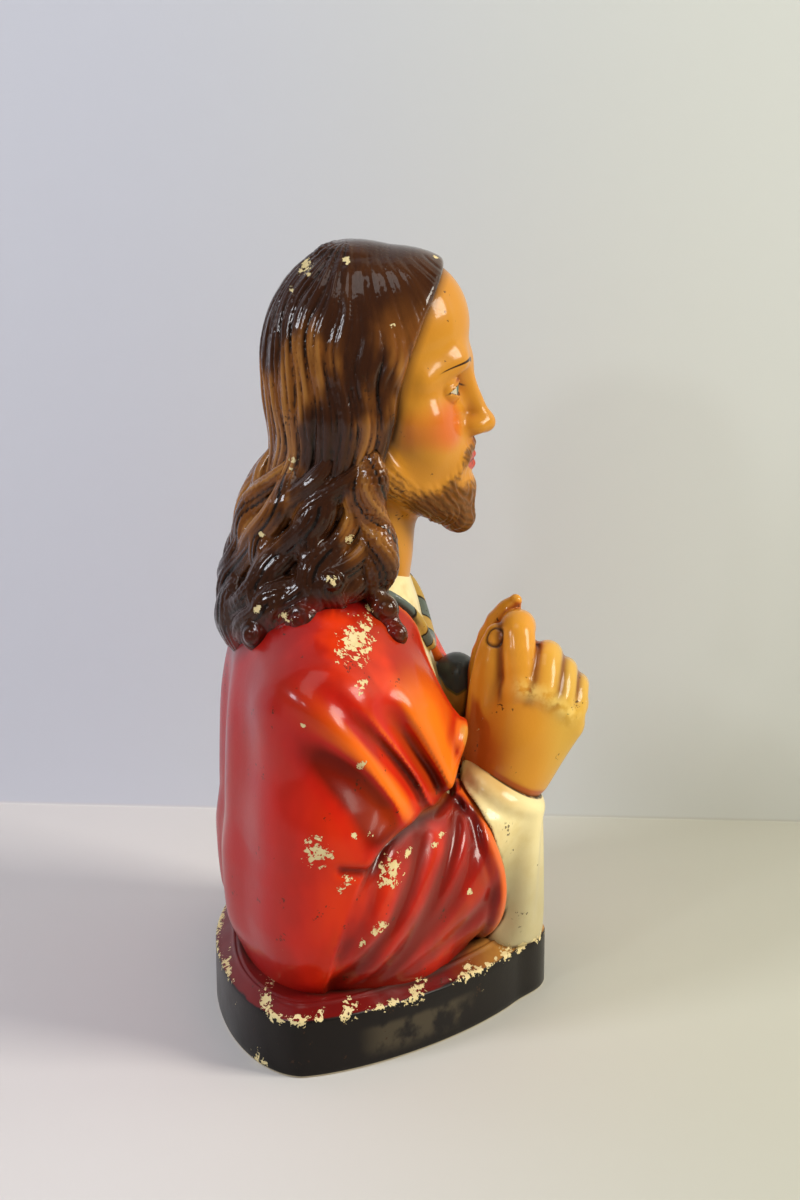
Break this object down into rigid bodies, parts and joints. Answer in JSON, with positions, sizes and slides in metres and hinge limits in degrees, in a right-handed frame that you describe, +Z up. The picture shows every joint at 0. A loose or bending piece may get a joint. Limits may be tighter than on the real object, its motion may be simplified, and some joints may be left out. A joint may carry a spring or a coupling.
{
  "type": "sacred heart bust",
  "caption": "Half-length painted plaster bust of a long-haired, bearded robed figure with clasped hands, cast with a low banded base, for standing on a shelf or altar.",
  "frame": {"origin": "middle of the flat underside of the base, between its two sides and between its back and its front point", "axes": "+Z up, the figure faces -Y, its own right hand is on -X"},
  "size_m": [0.246, 0.1987, 0.4003],
  "materials": {
    "painted_plaster": "hand-painted cast plaster under a yellowed gloss varnish, chipped to cream plaster"
  },
  "bodies": {
    "root": {"bust": "painted_plaster"}
  },
  "joints": []
}
